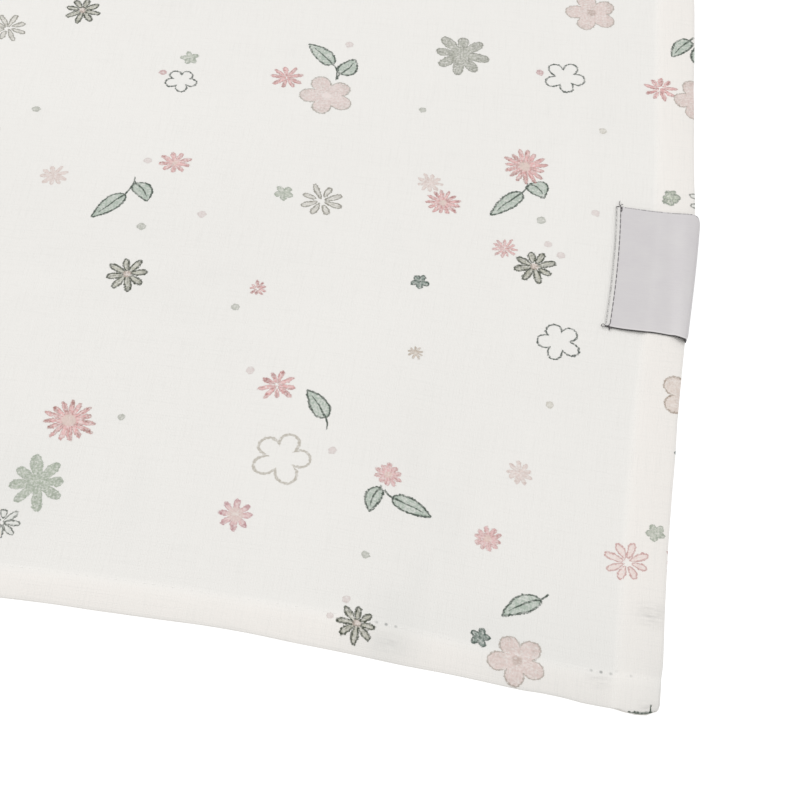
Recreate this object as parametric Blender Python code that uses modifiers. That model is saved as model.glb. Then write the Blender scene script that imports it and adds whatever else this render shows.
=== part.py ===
"""A swaddle blanket of fine cotton muslin, laid flat, with a folded satin label on its right-hand hem.

The cloth is one closed sheet. Its four sides are narrow hems, thicker than the single cloth between them,
and its corners stand out a little from its drawn-in sides. The label is a strip folded round the hem.

A place on the cloth is given from its near right-hand corner, in metres: `inward` is how far in from the
right-hand side it is, and `up` is how far up from the near side.
"""
import math

import bmesh
import bpy

# Cloth and hems
SIDE = 1.10                 # each side, corner to corner
CLOTH_THICK = 0.0010
HEM_WIDTH = 0.0112
HEM_THICK = 0.0018
HEM_STEP = 0.0006           # over which the hem drops to the single cloth
CORNER_RADIUS = 0.0023
CORNER_SEGMENTS = 3

# Spacing of the sheet's rows and columns: close by the near right-hand corner, wide elsewhere
CLOSE_REACH = 0.27
CLOSE_ROWS = 15
WIDE_ROWS = 21

# How each side is drawn in between its corners: how deep, and how far the standing-out corner
# reaches along the side from its first end and from its last end
DRAWN_IN = {
    # side      depth   first   last
    "near":  (0.0138, 0.084, 0.130),
    "right": (0.0025, 0.650, 0.180),
    "far":   (0.0110, 0.120, 0.095),
    "left":  (0.0090, 0.150, 0.110),
}
EAR_POWER = 1.7             # how sharply a corner runs into its side
DRAW_REACH = 0.30           # how far into the cloth a side's shape is felt

# The hem bows out where the label weighs on it
BOW_OUT = 0.0036
BOW_UP = 0.155
BOW_SPREAD = 0.050

# Soft swells, where the cloth stands off what it lies on
SWELLS = (
    # inward  up     turn   length  width  height
    (0.088, 0.050,   8.0, 0.060, 0.026, 0.0017),
    (0.205, 0.170,  62.0, 0.090, 0.034, 0.0020),
    (0.330, 0.400,  35.0, 0.170, 0.046, 0.0040),
    (0.130, 0.330, -25.0, 0.090, 0.036, 0.0024),
    (0.480, 0.130, -12.0, 0.110, 0.042, 0.0031),
    (0.740, 0.300,  74.0, 0.160, 0.050, 0.0038),
    (0.160, 0.640,  10.0, 0.150, 0.044, 0.0036),
    (0.390, 0.850, -48.0, 0.150, 0.050, 0.0042),
    (0.880, 0.620,  22.0, 0.140, 0.045, 0.0033),
    (0.700, 0.900,  66.0, 0.130, 0.048, 0.0035),
    (0.930, 0.110, -35.0, 0.080, 0.038, 0.0026),
)
TOUCH_LEVEL = 0.0003        # a swell lower than this still touches what is under it

# Label
LABEL_THICK = 0.0006
LABEL_LONG = 0.0462         # along the hem
LABEL_REACH = 0.0245        # in from the hem's edge to its sewn end
LABEL_UP = 0.142            # its middle, up the right-hand side
LABEL_ROWS = 4
FOLD_OUT = 0.0020           # its fold stands past the hem's edge
FOLD_STEPS = 8
LABEL_RAMP = 0.0030         # over which it comes down from the hem on to the single cloth
GAP = 0.0003                # between label and cloth
LIFT = LABEL_THICK + GAP    # the cloth over the label's back half stands this high
LIFT_MARGIN = 0.020         # how far past the label the cloth stays up
LIFT_FALL = 0.030           # over which it comes down again

# Finishes: colour and roughness
MUSLIN = ((0.86, 0.84, 0.80, 1.0), 0.90)
SATIN = ((0.62, 0.61, 0.62, 1.0), 0.45)


def smooth(t):
    """Run smoothly from 0 to 1 as t does."""
    t = min(max(t, 0.0), 1.0)
    return t * t * (3.0 - 2.0 * t)


def drawn_in(side, along):
    """Say how far a side stands in from the straight line between its corners."""
    depth, first, last = DRAWN_IN[side]
    from_first = 1.0 - math.exp(-(max(along, 0.0) / first) ** EAR_POWER)
    from_last = 1.0 - math.exp(-(max(SIDE - along, 0.0) / last) ** EAR_POWER)
    return depth * from_first * from_last


def right_edge(up):
    """Say how far out of the straight line the right-hand side stands at this height."""
    bow = BOW_OUT * math.exp(-0.5 * ((up - BOW_UP) / BOW_SPREAD) ** 2)
    return bow - drawn_in("right", up)


def felt(depth):
    """Say how much of a side's shape the cloth takes at this depth from the side: all of it in the hem."""
    return smooth(1.0 - (depth - HEM_WIDTH - HEM_STEP) / DRAW_REACH)


def label_stations():
    """List the label's rows, as heights up the right-hand side."""
    return [LABEL_UP + LABEL_LONG * (row / LABEL_ROWS - 0.5) for row in range(LABEL_ROWS + 1)]


# The origin stands under the middle of the whole thing, label and all
MIDDLE_SHIFT = (max(right_edge(up) for up in label_stations()) + FOLD_OUT) / 2.0


def outline(inward, up):
    """Turn a place on the square cut cloth into the place where it lies."""
    x = SIDE / 2.0 - inward - MIDDLE_SHIFT
    y = up - SIDE / 2.0
    x += right_edge(up) * felt(inward)
    x += drawn_in("left", up) * felt(SIDE - inward)
    y += drawn_in("near", inward) * felt(up)
    y -= drawn_in("far", inward) * felt(SIDE - up)
    return x, y


def swell(inward, up):
    """Say how high the cloth's underside stands on its soft swells."""
    height = -TOUCH_LEVEL
    for at_inward, at_up, turn, length, width, rise in SWELLS:
        angle = math.radians(turn)
        dx, dy = inward - at_inward, up - at_up
        along = dy * math.cos(angle) + dx * math.sin(angle)
        across = dx * math.cos(angle) - dy * math.sin(angle)
        height += rise * math.exp(-(along / length) ** 4 - (across / width) ** 2)
    return max(height, 0.0)


def lift(inward, up):
    """Say how high the cloth stands over the label's back half."""
    past_end = max(abs(up - LABEL_UP) - LABEL_LONG / 2.0, 0.0)
    past_reach = max(inward - LABEL_REACH, 0.0)
    away = math.hypot(past_end, past_reach) - LIFT_MARGIN
    return LIFT * (1.0 - smooth(away / LIFT_FALL))


def cloth_stations():
    """List the sheet's rows: a hem, close rows, wide rows and the other hem."""
    inner = HEM_WIDTH + HEM_STEP
    close = [inner + (CLOSE_REACH - inner) * row / CLOSE_ROWS for row in range(CLOSE_ROWS)]
    wide_from, wide_to = CLOSE_REACH, SIDE - inner
    wide = [wide_from + (wide_to - wide_from) * row / WIDE_ROWS for row in range(WIDE_ROWS + 1)]
    return [0.0, HEM_WIDTH] + close + wide + [SIDE - HEM_WIDTH, SIDE]


def grid(columns, rows, place):
    """Make an open sheet of columns by rows, with each of its points put where place(column, row) says."""
    mesh = bmesh.new()
    bmesh.ops.create_grid(mesh, x_segments=columns, y_segments=rows, size=1.0)
    for vert in mesh.verts:
        column = round((vert.co.x + 1.0) / 2.0 * columns)
        row = round((vert.co.y + 1.0) / 2.0 * rows)
        vert.co = place(column, row)
    return mesh


def finish(name, mesh, collection, finish_values):
    """Turn a mesh into a named object with its own material."""
    data = bpy.data.meshes.new(name)
    mesh.to_mesh(data)
    mesh.free()
    thing = bpy.data.objects.new(name, data)
    collection.objects.link(thing)
    colour, roughness = finish_values
    material = bpy.data.materials.new(name)
    material.use_nodes = True
    shader = material.node_tree.nodes["Principled BSDF"]
    shader.inputs["Base Color"].default_value = colour
    shader.inputs["Roughness"].default_value = roughness
    data.materials.append(material)
    return thing


def thicken(thing, thickness, offset):
    """Give an open sheet its thickness: offset 1 adds it above the sheet, 0 on both sides."""
    solidify = thing.modifiers.new("thickness", "SOLIDIFY")
    solidify.thickness = thickness
    solidify.offset = offset
    solidify.use_even_offset = True
    return solidify


def round_corners(mesh):
    """Round the sheet's four outer corners."""
    corners = [vert for vert in mesh.verts if len(vert.link_edges) == 2]
    bmesh.ops.bevel(mesh, geom=corners, offset=CORNER_RADIUS, offset_type="OFFSET",
                    segments=CORNER_SEGMENTS, profile=0.5, affect="VERTICES")


def in_hem(inward, up):
    """Say whether a place on the cut cloth is in a hem."""
    to_side = min(inward, SIDE - inward, up, SIDE - up)
    return to_side < HEM_WIDTH + HEM_STEP / 2.0


def build_blanket(collection):
    """Make the cloth with its hems, from its underside up."""
    stations = cloth_stations()
    count = len(stations) - 1
    mesh = grid(count, count, lambda column, row: (SIDE - stations[count - column], stations[row], 0.0))
    round_corners(mesh)
    hem_points = []
    mesh.verts.index_update()
    for vert in mesh.verts:
        inward, up = SIDE - vert.co.x, vert.co.y
        if in_hem(inward, up):
            hem_points.append(vert.index)
        x, y = outline(inward, up)
        vert.co = (x, y, max(swell(inward, up), lift(inward, up)))
    blanket = finish("blanket", mesh, collection, MUSLIN)
    hem = blanket.vertex_groups.new(name="hem")
    hem.add(hem_points, 1.0, "REPLACE")
    solidify = thicken(blanket, HEM_THICK, 1.0)
    solidify.vertex_group = hem.name
    solidify.thickness_vertex_group = CLOTH_THICK / HEM_THICK
    return blanket


def label_profile():
    """List the label's middle line from its top end, over the hem, round the fold and back underneath."""
    over_cloth = LIFT + CLOTH_THICK + GAP + LABEL_THICK / 2.0
    over_hem = LIFT + HEM_THICK + GAP + LABEL_THICK / 2.0
    under = LABEL_THICK / 2.0
    radius = (over_hem - under) / 2.0
    fold_x = FOLD_OUT - LABEL_THICK / 2.0 - radius
    hem_end = -HEM_WIDTH - HEM_STEP - GAP
    points = [(-LABEL_REACH, over_cloth), (hem_end - LABEL_RAMP, over_cloth), (hem_end, over_hem)]
    for step in range(FOLD_STEPS + 1):
        angle = math.pi * (0.5 - step / FOLD_STEPS)
        points.append((fold_x + radius * math.cos(angle), under + radius + radius * math.sin(angle)))
    points.append((-LABEL_REACH, under))
    return points


def build_label(collection):
    """Make the label: a strip folded round the right-hand hem, following the hem's edge."""
    profile = label_profile()
    rows = label_stations()

    def place(column, row):
        x, z = profile[column]
        edge_x, y = outline(0.0, rows[row])
        return edge_x + x, y, z

    mesh = grid(len(profile) - 1, LABEL_ROWS, place)
    label = finish("label", mesh, collection, SATIN)
    thicken(label, LABEL_THICK, 0.0)
    return label


def main():
    for thing in list(bpy.data.objects):
        bpy.data.objects.remove(thing, do_unlink=True)
    collection = bpy.data.collections.new("swaddle_blanket")
    bpy.context.scene.collection.children.link(collection)
    build_blanket(collection)
    build_label(collection)


main()
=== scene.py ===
# %% [markdown]
# # A swaddle blanket of printed muslin
# The real thing is one square of fine cotton muslin, 1.1 m each way. Its face is printed with a small
# scatter of flowers and leaves, its sides are turned under twice and sewn, and a grey satin label is folded
# round the right-hand hem. We look at the corner nearest to us, as it lies flat on a white table.
#
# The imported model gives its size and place. It stays as it is, and the finer pieces made here stand for it.

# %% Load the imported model
import math

import bpy
import numpy as np
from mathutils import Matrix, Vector, noise


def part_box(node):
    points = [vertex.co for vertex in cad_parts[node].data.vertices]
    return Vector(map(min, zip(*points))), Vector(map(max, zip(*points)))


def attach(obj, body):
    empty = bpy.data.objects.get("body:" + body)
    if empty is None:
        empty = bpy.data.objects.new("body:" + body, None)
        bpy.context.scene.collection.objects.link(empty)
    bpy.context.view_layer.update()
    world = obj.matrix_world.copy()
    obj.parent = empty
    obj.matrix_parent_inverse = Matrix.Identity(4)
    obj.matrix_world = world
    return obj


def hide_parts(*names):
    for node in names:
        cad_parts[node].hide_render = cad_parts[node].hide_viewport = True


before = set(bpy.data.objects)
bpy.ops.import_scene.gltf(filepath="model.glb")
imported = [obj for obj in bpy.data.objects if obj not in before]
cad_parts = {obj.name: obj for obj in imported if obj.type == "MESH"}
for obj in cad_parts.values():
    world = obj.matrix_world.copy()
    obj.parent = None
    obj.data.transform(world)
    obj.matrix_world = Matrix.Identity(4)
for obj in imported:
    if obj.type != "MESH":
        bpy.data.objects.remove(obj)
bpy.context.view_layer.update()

label_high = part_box("label")[1]
MM = 0.001

# %% [markdown]
# ## How the cloth lies
# A place on the finished cloth is given from its near right-hand corner: `inward` is how far in from the
# right side it is, and `up` how far up from the near side, both in millimetres. Washed muslin never lies
# quite square. Its sides are drawn in a few millimetres between the corners, the right-hand hem bows out
# where the label weighs on it, and small waves run along both edges near us. A few short formulas say so,
# and numpy works them out for all points at once.

# %% The cloth's own sizes, in millimetres
SIDE = 1100.0
HEM_IN = 12.4               # width of the finished hems on the right and left
HEM_UP = 10.2               # width of the finished hems on the near and far sides
TUCK_SHORT = 1.6            # the raw edge tucked inside a hem is this much narrower than the hem
LAYER = 0.2                 # thickness of one layer of muslin
CORNER_RADIUS = 2.6
FOLD_OUT = 2.0              # how far the label's fold stands past the hem, at most
LABEL_UP = 142.0            # middle of the label, up the right-hand side
LABEL_LONG = 46.2

DRAWN_IN = {
    # side      depth  reach from its first and from its last corner
    "near":  (13.8, 84.0, 130.0),
    "right": (2.5, 900.0, 180.0),
    "far":   (11.0, 120.0, 95.0),
    "left":  (9.0, 150.0, 110.0),
}
EAR_POWER = 1.7
DRAW_FROM, DRAW_REACH = 11.2, 300.0
BOW_OUT, BOW_UP, BOW_SPREAD = 3.6, 165.0, 47.0
EDGE_WAVES = {
    # side: place along it, half the length of a wave, how far out it stands
    "near": ((6.3, 3.6, 0.7), (28.0, 6.0, -0.4), (82.0, 23.0, 0.85), (142.0, 16.0, 0.3)),
    "right": ((2.0, 8.5, -0.85), (40.0, 18.0, -0.2), (78.0, 8.0, 0.15),
              (188.0, 16.0, -0.5), (212.0, 9.0, -0.3), (243.0, 14.0, 0.25)),
}
WAVE_REACH = 6.0            # only the very edge feels these small waves


# %% From a place on the square cloth to the place where it lies
def smooth(t):
    """Run smoothly from 0 to 1 as t does."""
    t = np.clip(t, 0.0, 1.0)
    return t * t * (3.0 - 2.0 * t)


def between(low, high, share):
    """What lies between two values, at a share of the way from the first to the second."""
    return low + (high - low) * share


def drawn_in(side, along):
    """How far a side stands in from the straight line between its corners."""
    depth, first, last = DRAWN_IN[side]
    from_first = 1.0 - np.exp(-(np.maximum(along, 0.0) / first) ** EAR_POWER)
    from_last = 1.0 - np.exp(-(np.maximum(SIDE - along, 0.0) / last) ** EAR_POWER)
    return depth * from_first * from_last


def right_edge(up):
    """How far out of the straight line the right-hand side stands."""
    return BOW_OUT * np.exp(-0.5 * ((up - BOW_UP) / BOW_SPREAD) ** 2) - drawn_in("right", up)


def felt(depth):
    """How much of a side's shape the cloth takes at this depth from it."""
    return smooth(1.0 - (depth - DRAW_FROM) / DRAW_REACH)


def wave(side, along, depth):
    """How far out a side stands in its small waves."""
    out = sum(rise * np.exp(-((along - at) / half) ** 4) for at, half, rise in EDGE_WAVES[side])
    return out * (1.0 - smooth(depth / WAVE_REACH))


label_ends = LABEL_UP + np.linspace(-0.5, 0.5, 5) * LABEL_LONG
corner_x = label_high.x / MM - FOLD_OUT - right_edge(label_ends).max()
corner_y = -SIDE / 2.0


def lie(inward, up):
    """x and y, in millimetres, of a place on the finished cloth."""
    x = corner_x - inward + right_edge(up) * felt(inward) + wave("right", up, inward)
    x += drawn_in("left", up) * felt(SIDE - inward)
    y = corner_y + up + drawn_in("near", inward) * felt(up) - wave("near", inward, up)
    y -= drawn_in("far", inward) * felt(SIDE - up)
    return x, y


print("near right-hand corner, mm:", round(corner_x, 1), round(corner_y, 1))

# %% [markdown]
# ## The camera
# The photograph looks down at the corner from about 57 degrees above the table, turned a little to the left.
# The near things are not much bigger than the far ones, so the lens is a long one: a field of 24 degrees.

# %% Camera
AIM = (77.7, 88.4)          # the picture's middle, inward and up from the corner as it lies
CAMERA_AWAY = 537.0
CAMERA_TURN = math.radians(6.7)
CAMERA_TILT = math.radians(57.0)
FIELD = math.radians(24.0)

camera = bpy.data.objects.new("camera", bpy.data.cameras.new("camera"))
bpy.context.scene.collection.objects.link(camera)
bpy.context.scene.camera = camera
camera.data.angle = FIELD
camera.data.clip_start = 0.01
aim = Vector((corner_x - AIM[0], corner_y + AIM[1], 0.0)) * MM
back = Vector((math.sin(CAMERA_TURN) * math.cos(CAMERA_TILT),
               -math.cos(CAMERA_TURN) * math.cos(CAMERA_TILT),
               math.sin(CAMERA_TILT)))
camera.location = aim + back * CAMERA_AWAY * MM
camera.rotation_euler = (-back).to_track_quat("-Z", "Y").to_euler()
print("camera stands at, m:", [round(value, 3) for value in camera.location])

# %% [markdown]
# ## Light and table
# A studio picture of white cloth has light from everywhere, and one larger, softer source that gives the
# little shading by which we see folds. Here a white world is the light from everywhere, and a wide panel
# stands behind the blanket, high up. The table is white and lit faintly from below, as tables for such
# pictures are: that keeps it brighter than the cloth, and takes the weight out of the shadows on it.


# %% Light and table
def linear(red, green, blue):
    """A colour picked on screen, 0 to 255, as the numbers that a shader wants."""
    shares = [value / 255.0 for value in (red, green, blue)]
    return tuple(s / 12.92 if s <= 0.04045 else ((s + 0.055) / 1.055) ** 2.4 for s in shares)


def plain_material(name, colour, roughness, more=()):
    """A material with one Principled shader, and that shader. More inputs may be set by their names."""
    material = bpy.data.materials.new(name)
    material.use_nodes = True
    shader = material.node_tree.nodes["Principled BSDF"]
    for label, value in {"Base Color": (*colour, 1.0), "Roughness": roughness, **dict(more)}.items():
        shader.inputs[label].default_value = value
    return material, shader


TABLE_HALF = 4.0
TABLE_WHITE, TABLE_GLOW = 0.3, 0.85
SKY_STRENGTH = 0.75
PANEL_POWER = 72.0
PANEL_SIZE = 2.6
PANEL_PLACE = (-1.4, 2.2, 2.8)

scene = bpy.context.scene
scene.view_settings.view_transform = "Standard"
world = bpy.data.worlds.new("studio")
scene.world = world
world.use_nodes = True
sky = world.node_tree.nodes["Background"]
sky.inputs["Color"].default_value = (1.0, 1.0, 1.0, 1.0)
sky.inputs["Strength"].default_value = SKY_STRENGTH

panel = bpy.data.objects.new("panel", bpy.data.lights.new("panel", "AREA"))
scene.collection.objects.link(panel)
panel.data.energy = PANEL_POWER
panel.data.size = PANEL_SIZE
panel.location = PANEL_PLACE
panel.rotation_euler = (aim - panel.location).to_track_quat("-Z", "Y").to_euler()

table_mesh = bpy.data.meshes.new("table")
table_corners = [(-1, -1), (1, -1), (1, 1), (-1, 1)]
table_mesh.from_pydata([(x * TABLE_HALF, y * TABLE_HALF, 0.0) for x, y in table_corners], [], [(0, 1, 2, 3)])
table = bpy.data.objects.new("table", table_mesh)
scene.collection.objects.link(table)
glow = {"Emission Color": (1.0, 1.0, 1.0, 1.0), "Emission Strength": TABLE_GLOW}
table_mesh.materials.append(plain_material("table_white", (TABLE_WHITE,) * 3, 0.9, glow)[0])

# %% [markdown]
# ## Rows of the cloth
# A hem is cloth turned under twice. Going along the cut cloth from its raw edge, we first cross the tuck
# that ends up in the middle of the hem, then a fold, then the layer that lies underneath, then the outer
# fold, and at last the face. So one run of rows across the whole cut cloth, with where each row lies, makes
# real turned hems. Rows are close together by the near right-hand corner and wider where nobody looks
# closely.
#
# Each row holds: its place on the cut cloth, its place on the finished cloth, how far it leans out of a
# fold, and how much it belongs to the top, middle and bottom layer.

# %% Rows
CLOSE_STEP, CLOSE_TO = 2.4, 266.0
WIDE_STEP = 7.2
TUCK_ROWS, UNDER_ROWS = 3, 3
INNER_STEPS, OUTER_STEPS = 2, 4
SEAM_SHORT = 0.7            # the line of stitches runs this far from the hem's inner fold
STEP_BEFORE = {HEM_IN: 2.4, HEM_UP: 4.2}    # the seam pulls the top layer down from this far before the fold
STEP_AFTER = 0.8            # to this far past it
HEM_SHARES = (0.1, 0.24, 0.38, 0.52, 0.66, 0.77, 0.85)
TOP, MIDDLE, BOTTOM = np.eye(3)
ROW_PARTS = ("cut", "lie", "lean", "layer")
INNER_LEAN = 0.7            # the fold inside a hem is pressed flatter than the outer one


def fold_rows(at_cut, at_lie, lean, first, last, steps):
    """Rows round a fold, from one layer to another."""
    rows = []
    for step in range(steps + 1):
        turn = math.pi * step / steps
        share = (1.0 - math.cos(turn)) / 2.0
        cut = at_cut + LAYER * (turn - math.pi / 2.0)
        rows.append((cut, at_lie, lean * math.sin(turn), first * (1.0 - share) + last * share))
    return rows


def hem_rows(hem):
    """Rows of one turned hem, from the raw edge to where the single cloth lies flat."""
    rows = []
    for at in np.linspace(TUCK_SHORT, hem, TUCK_ROWS, endpoint=False):
        rows.append((at - 2.0 * hem, at, 0.0, MIDDLE))
    rows += fold_rows(-hem, hem, INNER_LEAN, MIDDLE, BOTTOM, INNER_STEPS)
    for at in np.linspace(hem, 0.0, UNDER_ROWS + 2)[1:-1]:
        rows.append((-at, at, 0.0, BOTTOM))
    rows += fold_rows(0.0, 0.0, -1.0, BOTTOM, TOP, OUTER_STEPS)
    on_hem = [hem * share for share in HEM_SHARES] + [hem - SEAM_SHORT, hem]
    for at in on_hem + [hem + STEP_AFTER * share for share in (0.5, 1.0)]:
        rows.append((at, at, 0.0, TOP))
    return rows


def spaced(start, end, step):
    """Places between start and end, about a step apart, without the two ends."""
    return list(np.linspace(start, end, max(2, round((end - start) / step)) + 1)[1:-1])


def all_rows(hem):
    """Every row between two opposite sides, as one array for each thing that a row holds."""
    first = hem_rows(hem)
    last = [(SIDE - cut, SIDE - at, -lean, layer) for cut, at, lean, layer in reversed(first)]
    field_from = hem + STEP_AFTER
    field = spaced(field_from, CLOSE_TO, CLOSE_STEP) + [CLOSE_TO]
    field += spaced(CLOSE_TO, SIDE - field_from, WIDE_STEP)
    rows = first + [(at, at, 0.0, TOP) for at in field] + last
    held = {part: np.array(values) for part, values in zip(ROW_PARTS, zip(*rows))}
    held["size"] = held["cut"][-1] - held["cut"][0]
    return held


rows_in, rows_up = all_rows(HEM_IN), all_rows(HEM_UP)
COUNTS = (len(rows_in["cut"]), len(rows_up["cut"]))
print("rows:", COUNTS, " cut cloth, mm:", round(rows_in["size"], 1), "by", round(rows_up["size"], 1))

# %% [markdown]
# ## Swells and creases
# Cloth that was laid down by hand stands off the table here and there in long soft swells. They are the same
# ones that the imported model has. On top of them come smaller things that only the eye cares about: the soft
# trough near the corner, the slack beside the thicker hems, and the faint crinkle of washed muslin.

# %% Height of the single cloth
SWELLS = (
    # inward  up     turn   length  width  height
    (88.0, 50.0, 8.0, 60.0, 26.0, 1.7),
    (205.0, 170.0, 62.0, 90.0, 34.0, 2.0),
    (330.0, 400.0, 35.0, 170.0, 46.0, 4.0),
    (130.0, 330.0, -25.0, 90.0, 36.0, 2.4),
    (480.0, 130.0, -12.0, 110.0, 42.0, 3.1),
    (740.0, 300.0, 74.0, 160.0, 50.0, 3.8),
    (160.0, 640.0, 10.0, 150.0, 44.0, 3.6),
    (390.0, 850.0, -48.0, 150.0, 50.0, 4.2),
    (880.0, 620.0, 22.0, 140.0, 45.0, 3.3),
    (700.0, 900.0, 66.0, 130.0, 48.0, 3.5),
    (930.0, 110.0, -35.0, 80.0, 38.0, 2.6),
)
CREASES = (
    # inward  up     turn   length  width  height
    (67.0, 38.0, 2.0, 32.0, 3.6, -0.75),
    (60.0, 44.0, -4.0, 34.0, 4.0, 0.22),
    (120.0, 92.0, 58.0, 70.0, 5.0, 0.16),
    (34.0, 190.0, -6.0, 60.0, 5.0, 0.18),
    (92.0, 205.0, 40.0, 60.0, 6.0, 0.15),
    (170.0, 110.0, -70.0, 60.0, 5.0, 0.15),
)
TOUCH_LEVEL = 0.3
LABEL_LIFT = 0.45           # the label's back half lies under the hem
LABEL_REACH = 23.8
LIFT_MARGIN, LIFT_FALL = 3.0, 26.0
REST_GAP, REST_HEIGHT = 0.12, 0.28
HEM_SLACK, SLACK_REACH = 0.3, 26.0
CRINKLES = (
    # size of a crinkle, its height, stretch along the two threads
    (46.0, 0.22, 1.0, 1.0),
    (17.0, 0.075, 0.45, 1.0),
    (17.0, 0.075, 1.0, 0.45),
    (7.0, 0.028, 1.0, 0.7),
)
LAYER_APART = 7.3           # the layers of noise are taken this far from each other


def ridges(table_of_ridges, inward, up):
    """The height of long soft ridges, or troughs where the height is negative."""
    height = np.zeros_like(inward)
    for at_inward, at_up, turn, length, width, rise in table_of_ridges:
        angle = math.radians(turn)
        dx, dy = inward - at_inward, up - at_up
        along = dy * math.cos(angle) + dx * math.sin(angle)
        across = dx * math.cos(angle) - dy * math.sin(angle)
        height += rise * np.exp(-(along / length) ** 4 - (across / width) ** 2)
    return height


def crinkle(inward, up):
    """The faint unevenness of washed muslin, from layers of noise."""
    height = np.zeros(inward.size)
    for number, (size, rise, stretch_in, stretch_up) in enumerate(CRINKLES):
        spots = np.stack([inward.ravel() * stretch_in / size, up.ravel() * stretch_up / size], axis=1)
        height += rise * np.array([noise.noise((a, b, LAYER_APART * number)) for a, b in spots])
    return height.reshape(inward.shape)


def lift(inward, up):
    """How high the cloth stands over the label's back half."""
    past_end = np.maximum(np.abs(up - LABEL_UP) - LABEL_LONG / 2.0, 0.0)
    past_reach = np.maximum(inward - LABEL_REACH, 0.0)
    away = np.hypot(past_end, past_reach) - LIFT_MARGIN
    return LABEL_LIFT * (1.0 - smooth(away / LIFT_FALL))


def to_side(at):
    """How far a place is from the nearer of two opposite sides."""
    return np.minimum(at, SIDE - at)


def underside(inward, up):
    """Height of the cloth's underside above the table. Hems lie flatter than the field."""
    soft = ridges(SWELLS, inward, up) - TOUCH_LEVEL
    height = np.maximum(np.maximum(soft, 0.0), lift(inward, up))
    past_hems = np.minimum(to_side(inward) - HEM_IN, to_side(up) - HEM_UP)
    slack = between(HEM_SLACK, 1.0, smooth(past_hems / SLACK_REACH))
    small = REST_HEIGHT + crinkle(inward, up) + ridges(CREASES, inward, up)
    return height + REST_GAP + slack * np.maximum(small, 0.0)


# %% [markdown]
# ## Folding the grid
# The near and far sides are turned first, and then the right and left sides, with whatever is already folded
# there. In a corner nine layers lie on each other, so the second fold has to go round a stack of three. The
# sums below keep that order: the layer turned under is flipped over, and the one tucked back is upright
# again. An iron presses such a corner hard, so its layers lie closer together than those of a plain hem.
# Between its outer fold and its seam a hem puffs up a little.


# %% The folded sheet
PRESS = 0.11
HEM_PUFF, PUFF_LEAN = 0.30, 0.8


def stack_height(at, hem):
    """Thickness under the top layer of a hem, 0 where the cloth is single."""
    past_start = to_side(at) - hem + STEP_BEFORE[hem]
    return 2.0 * LAYER * (1.0 - smooth(past_start / (STEP_BEFORE[hem] + STEP_AFTER)))


def puffed(inward, up):
    """How much higher the top layer stands between the outer fold of a hem and its seam."""
    shares = (to_side(inward) / HEM_IN, to_side(up) / HEM_UP)
    return HEM_PUFF * sum(np.sin(math.pi * np.clip(share, 0.0, 1.0) ** PUFF_LEAN) for share in shares)


def pressed(height):
    """Height of a stack of layers once it is pressed: three layers keep theirs, nine lose 40% of it."""
    return height / (1.0 + PRESS * np.maximum(height / LAYER - 2.0, 0.0))


def cloth_top(inward, up):
    """Height of the upper face of the cloth or its hems above the table."""
    stack = stack_height(up, HEM_UP)
    hem_share = stack_height(inward, HEM_IN) / (2.0 * LAYER)
    layers = pressed(stack + hem_share * 2.0 * (stack + LAYER))
    return underside(inward, up) + layers + puffed(inward, up)


def folded():
    """Where the points of the cut cloth lie: inward, up and height above the single cloth's underside."""
    top_up, middle, _ = rows_up["layer"].T
    stack = stack_height(rows_up["lie"], HEM_UP)
    height_up = (top_up + middle / 2.0) * stack
    up = rows_up["lie"] + rows_up["lean"] * np.where(middle > 0.0, LAYER / 2.0, LAYER)
    stack, height_up, up, top_up = stack[None, :], height_up[None, :], up[None, :], top_up[None, :]

    top, middle, bottom = (part[:, None] for part in rows_in["layer"].T)
    hem_share = stack_height(rows_in["lie"], HEM_IN)[:, None] / (2.0 * LAYER)
    height = top * (height_up + hem_share * 2.0 * (stack + LAYER))
    height = height + middle * (hem_share * (stack + LAYER) + height_up) + bottom * (stack - height_up)
    radius = np.where(middle > 0.0, LAYER / 2.0 + height_up, stack / 2.0 + LAYER + height_up)
    inward = rows_in["lie"][:, None] + rows_in["lean"][:, None] * pressed(radius)
    up = np.broadcast_to(up, inward.shape)
    return inward, up, pressed(height) + top * top_up * puffed(inward, up)


def round_corner(inward, up):
    """Round the cloth's four corners, as a turned corner always is."""
    side_in, side_up = to_side(inward), to_side(up)
    a, b = CORNER_RADIUS - side_in, CORNER_RADIUS - side_up
    inside = (a > 0.0) & (b > 0.0)
    share = np.where(inside, np.maximum(a, b) / np.maximum(np.hypot(a, b), 1e-6), 1.0)
    new_in = np.where(inside, CORNER_RADIUS - a * share, side_in)
    new_up = np.where(inside, CORNER_RADIUS - b * share, side_up)
    return (np.where(inward < SIDE / 2.0, new_in, SIDE - new_in),
            np.where(up < SIDE / 2.0, new_up, SIDE - new_up))


# %% Make the mesh
def grid_faces(numbers):
    """Faces between the rows and columns of a grid of point numbers."""
    corners = [numbers[:-1, :-1], numbers[:-1, 1:], numbers[1:, 1:], numbers[1:, :-1]]
    return np.stack(corners, axis=-1).reshape(-1, 4)


def new_piece(name, vertices, polygons):
    """A smooth mesh object, from points in millimetres and lists of point numbers."""
    mesh = bpy.data.meshes.new(name)
    mesh.from_pydata((vertices * MM).tolist(), [], polygons)
    mesh.validate()
    mesh.shade_smooth()
    piece = bpy.data.objects.new(name, mesh)
    scene.collection.objects.link(piece)
    return piece


inward, up, height = folded()
inward, up = round_corner(inward, up)
sheet_x, sheet_y = lie(inward, up)
sheet_z = height + underside(inward, up)
numbers = np.arange(COUNTS[0] * COUNTS[1]).reshape(COUNTS)
faces = grid_faces(numbers)
points = np.stack([sheet_x, sheet_y, sheet_z], axis=-1).reshape(-1, 3)
blanket = new_piece("muslin_blanket", points, faces.tolist())

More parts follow.
